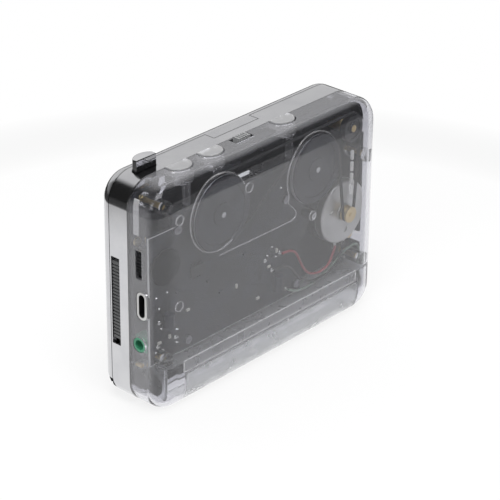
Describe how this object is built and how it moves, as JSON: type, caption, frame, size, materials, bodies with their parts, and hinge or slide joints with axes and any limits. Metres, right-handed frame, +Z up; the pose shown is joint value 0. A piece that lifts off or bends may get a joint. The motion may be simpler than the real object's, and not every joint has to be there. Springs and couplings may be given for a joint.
{
  "type": "portable cassette player",
  "caption": "Pocket cassette player with a hinged cassette door, a clear back over its belt drive, keys on the top edge and sockets at one end.",
  "frame": {"origin": "middle of the base face, on the seam plane between the front frame and the back shell", "axes": "+X along the length towards the end with the sockets, +Y from the seam towards the clear back, with the cassette door at -Y, +Z up from the base"},
  "size_m": [0.114, 0.0274, 0.088],
  "materials": {
    "silver_plastic": "fine satin metallic paint over moulded plastic",
    "clear_plastic": "polished clear polycarbonate",
    "window_pane": "polished clear acrylic",
    "black_plastic": "satin moulded black plastic",
    "plated_key": "bright plating over moulded plastic",
    "steel": "ground or stamped bare steel",
    "dark_steel": "turned steel, blackened",
    "motor_can": "drawn zinc-plated steel",
    "brass": "turned brass",
    "bronze": "sintered bronze",
    "rubber": "smooth black rubber",
    "board": "dark solder mask on glass-fibre board",
    "chip": "moulded epoxy",
    "capacitor": "drawn aluminium with a sleeve",
    "solder": "bright solder",
    "green_plastic": "moulded green plastic",
    "grey_plastic": "satin moulded dark grey plastic",
    "white_plastic": "moulded natural acetal",
    "red_wire": "red insulation",
    "black_wire": "black insulation",
    "green_wire": "green insulation"
  },
  "bodies": {
    "case": {"amplifier_chip": "chip", "battery_lead": "green_wire", "battery_spring": "steel", "battery_terminals": "steel", "battery_tray": "clear_plastic", "board_screws": "steel", "bridge_spring": "steel", "capacitors": "capacitor", "capstan_bushes": "bronze", "chassis": "black_plastic", "chassis_screws": "steel", "circuit_board": "board", "door_hinge_pins": "steel", "drive_belt": "rubber", "forward_key_spring": "steel", "frame_screws": "brass", "front_frame": "silver_plastic", "headphone_jack": "green_plastic", "idler_post": "brass", "latch_spring": "steel", "motor": "motor_can", "motor_lead_black": "black_wire", "motor_lead_red": "red_wire", "motor_ring": "rubber", "pivot_pins": "steel", "rear_shell": "clear_plastic", "reel_plate": "steel", "rewind_key_spring": "steel", "slide_switch": "steel", "solder_joints": "solder", "stop_key_spring": "steel", "usb_socket": "steel", "volume_pot": "black_plastic"},
    "door": {"cassette_door": "silver_plastic", "door_window": "window_pane", "cassette_clips": "black_plastic"},
    "battery_lid": {"battery_lid": "clear_plastic"},
    "play_key": {"play_key": "plated_key"},
    "forward_key": {"forward_key": "clear_plastic"},
    "rewind_key": {"rewind_key": "clear_plastic"},
    "stop_key": {"stop_key": "clear_plastic"},
    "head_bridge": {"head_bridge": "steel", "tape_head": "steel"},
    "socket_side_pinch_arm": {"socket_side_pinch_arm": "steel"},
    "motor_side_pinch_arm": {"motor_side_pinch_arm": "steel"},
    "socket_side_pinch_roller": {"socket_side_pinch_roller": "rubber"},
    "motor_side_pinch_roller": {"motor_side_pinch_roller": "rubber"},
    "socket_side_flywheel": {"socket_side_flywheel": "dark_steel", "socket_side_capstan": "steel"},
    "motor_side_flywheel": {"motor_side_flywheel": "dark_steel", "motor_side_capstan": "steel"},
    "motor_pulley": {"motor_pulley": "brass"},
    "idler_pulley": {"idler_pulley": "black_plastic"},
    "takeup_idler_wheel": {"takeup_idler_wheel": "rubber"},
    "supply_idler_wheel": {"supply_idler_wheel": "rubber"},
    "takeup_spindle": {"takeup_spindle": "white_plastic"},
    "supply_spindle": {"supply_spindle": "white_plastic"},
    "latch_slider": {"latch_slider": "grey_plastic"},
    "switch_knob": {"switch_knob": "grey_plastic"},
    "volume_wheel": {"volume_wheel": "black_plastic"}
  },
  "joints": [
    {"name": "door_hinge", "type": "hinge", "parent": "case", "child": "door", "pos_m": [0, -0.012, 0.0059], "axis": [1, 0, 0], "range_deg": [0, 40]},
    {"name": "battery_lid_slide", "type": "slide", "parent": "case", "child": "battery_lid", "axis": [0, 1, 0], "range_m": [0, 0.01]},
    {"name": "play_key_travel", "type": "slide", "parent": "case", "child": "play_key", "axis": [0, 0, -1], "range_m": [0, 0.0036], "stiffness_N_per_m": 300},
    {"name": "head_bridge_travel", "type": "slide", "parent": "case", "child": "head_bridge", "axis": [0, 0, -1], "range_m": [0, 0.0036], "deforming": ["bridge_spring"]},
    {"name": "socket_side_pinch_arm_pivot", "type": "hinge", "parent": "case", "child": "socket_side_pinch_arm", "pos_m": [0.037, 0, 0.07595], "axis": [0, -1, 0], "range_deg": [0, 35]},
    {"name": "motor_side_pinch_arm_pivot", "type": "hinge", "parent": "case", "child": "motor_side_pinch_arm", "pos_m": [-0.037, 0, 0.07595], "axis": [0, 1, 0], "range_deg": [0, 35]},
    {"name": "socket_side_pinch_roller_spin", "type": "hinge", "parent": "socket_side_pinch_arm", "child": "socket_side_pinch_roller", "pos_m": [0.02273, -0.00425, 0.0782], "axis": [0, 1, 0], "continuous": true},
    {"name": "motor_side_pinch_roller_spin", "type": "hinge", "parent": "motor_side_pinch_arm", "child": "motor_side_pinch_roller", "pos_m": [-0.02273, -0.00425, 0.0782], "axis": [0, 1, 0], "continuous": true},
    {"name": "socket_side_flywheel_spin", "type": "hinge", "parent": "case", "child": "socket_side_flywheel", "pos_m": [0.024, 0, 0.065], "axis": [0, 1, 0], "continuous": true},
    {"name": "motor_side_flywheel_spin", "type": "hinge", "parent": "case", "child": "motor_side_flywheel", "pos_m": [-0.024, 0, 0.065], "axis": [0, 1, 0], "continuous": true},
    {"name": "motor_pulley_spin", "type": "hinge", "parent": "case", "child": "motor_pulley", "pos_m": [-0.043, 0.009, 0.0407], "axis": [0, 1, 0], "continuous": true},
    {"name": "idler_pulley_spin", "type": "hinge", "parent": "case", "child": "idler_pulley", "pos_m": [-0.0433, 0.01, 0.0741], "axis": [0, 1, 0], "continuous": true},
    {"name": "takeup_idler_wheel_spin", "type": "hinge", "parent": "case", "child": "takeup_idler_wheel", "pos_m": [0.02302, 0.0024, 0.05678], "axis": [0, 1, 0], "continuous": true},
    {"name": "supply_idler_wheel_spin", "type": "hinge", "parent": "case", "child": "supply_idler_wheel", "pos_m": [-0.02302, 0.0024, 0.05678], "axis": [0, 1, 0], "continuous": true},
    {"name": "takeup_spindle_spin", "type": "hinge", "parent": "case", "child": "takeup_spindle", "pos_m": [0.02125, 0, 0.042], "axis": [0, 1, 0], "continuous": true},
    {"name": "supply_spindle_spin", "type": "hinge", "parent": "case", "child": "supply_spindle", "pos_m": [-0.02125, 0, 0.042], "axis": [0, 1, 0], "continuous": true},
    {"name": "forward_key_travel", "type": "slide", "parent": "case", "child": "forward_key", "axis": [0, 0, -1], "range_m": [0, 0.0025], "stiffness_N_per_m": 200, "deforming": ["forward_key_spring"]},
    {"name": "rewind_key_travel", "type": "slide", "parent": "case", "child": "rewind_key", "axis": [0, 0, -1], "range_m": [0, 0.0025], "stiffness_N_per_m": 200, "deforming": ["rewind_key_spring"]},
    {"name": "stop_key_travel", "type": "slide", "parent": "case", "child": "stop_key", "axis": [0, 0, -1], "range_m": [0, 0.0025], "stiffness_N_per_m": 200, "deforming": ["stop_key_spring"]},
    {"name": "latch_travel", "type": "slide", "parent": "case", "child": "latch_slider", "axis": [0, 0, -1], "range_m": [0, 0.0019], "stiffness_N_per_m": 200, "deforming": ["latch_spring"]},
    {"name": "switch_travel", "type": "slide", "parent": "case", "child": "switch_knob", "axis": [1, 0, 0], "range_m": [-0.0015, 0.0015]},
    {"name": "volume_turn", "type": "hinge", "parent": "case", "child": "volume_wheel", "pos_m": [0.0482, 0.00505, 0.056], "axis": [0, 1, 0], "range_deg": [-135, 135]}
  ],
  "couplings": [
    {"joint": "head_bridge_travel", "follows": "play_key_travel", "ratio": 1},
    {"joint": "socket_side_pinch_arm_pivot", "follows": "play_key_travel", "rad_per_m": 168.79},
    {"joint": "motor_side_pinch_arm_pivot", "follows": "play_key_travel", "rad_per_m": 168.79},
    {"joint": "motor_side_flywheel_spin", "follows": "socket_side_flywheel_spin", "ratio": -1.0698},
    {"joint": "motor_pulley_spin", "follows": "socket_side_flywheel_spin", "ratio": 4.9286},
    {"joint": "idler_pulley_spin", "follows": "socket_side_flywheel_spin", "ratio": 2.6538},
    {"joint": "takeup_idler_wheel_spin", "follows": "socket_side_flywheel_spin", "ratio": -0.28293},
    {"joint": "supply_idler_wheel_spin", "follows": "socket_side_flywheel_spin", "ratio": 0.30267}
  ]
}
